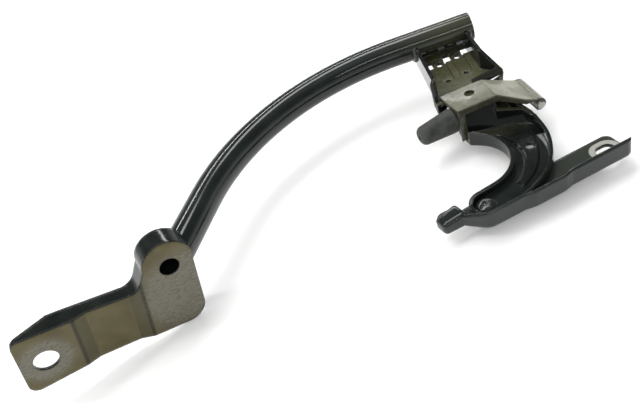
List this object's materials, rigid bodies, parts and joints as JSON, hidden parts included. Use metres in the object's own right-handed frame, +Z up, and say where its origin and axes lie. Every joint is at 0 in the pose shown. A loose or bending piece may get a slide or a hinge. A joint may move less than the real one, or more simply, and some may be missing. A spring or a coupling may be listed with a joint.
{
  "type": "trunk lid hinge",
  "caption": "Gooseneck hinge for a car trunk lid: slotted base bracket, riveted swinging arm with a rubber bumper, bent tube and pressed lid bracket.",
  "frame": {"origin": "midway between the two fixing slots, on the base bracket's underside", "axes": "+X along the base bracket away from the pivot, +Z up along the pivot's axis, +Y towards the channel and tube"},
  "size_m": [0.3705, 0.1756, 0.0665],
  "materials": {
    "black_coat": "glossy black coating with a green-grey cast",
    "olive_coat": "thin satin olive-brown coating, scuffed at its edges",
    "steel": "satin",
    "buffer_rubber": "matte grey-green"
  },
  "bodies": {
    "base": {"base_bracket": "black_coat", "pivot_rivet": "olive_coat", "thrust_washer": "steel"},
    "arm": {"gooseneck_arm": "olive_coat", "pivot_bush": "steel", "bumper_bracket": "olive_coat", "rubber_bumper": "buffer_rubber", "cross_pin": "steel", "gooseneck_tube": "black_coat", "lid_bracket": "olive_coat"}
  },
  "joints": [
    {"name": "arm_swing", "type": "hinge", "parent": "base", "child": "arm", "pos_m": [-0.057, 0, 0], "axis": [0, 0, 1], "range_deg": [0, 95]}
  ]
}
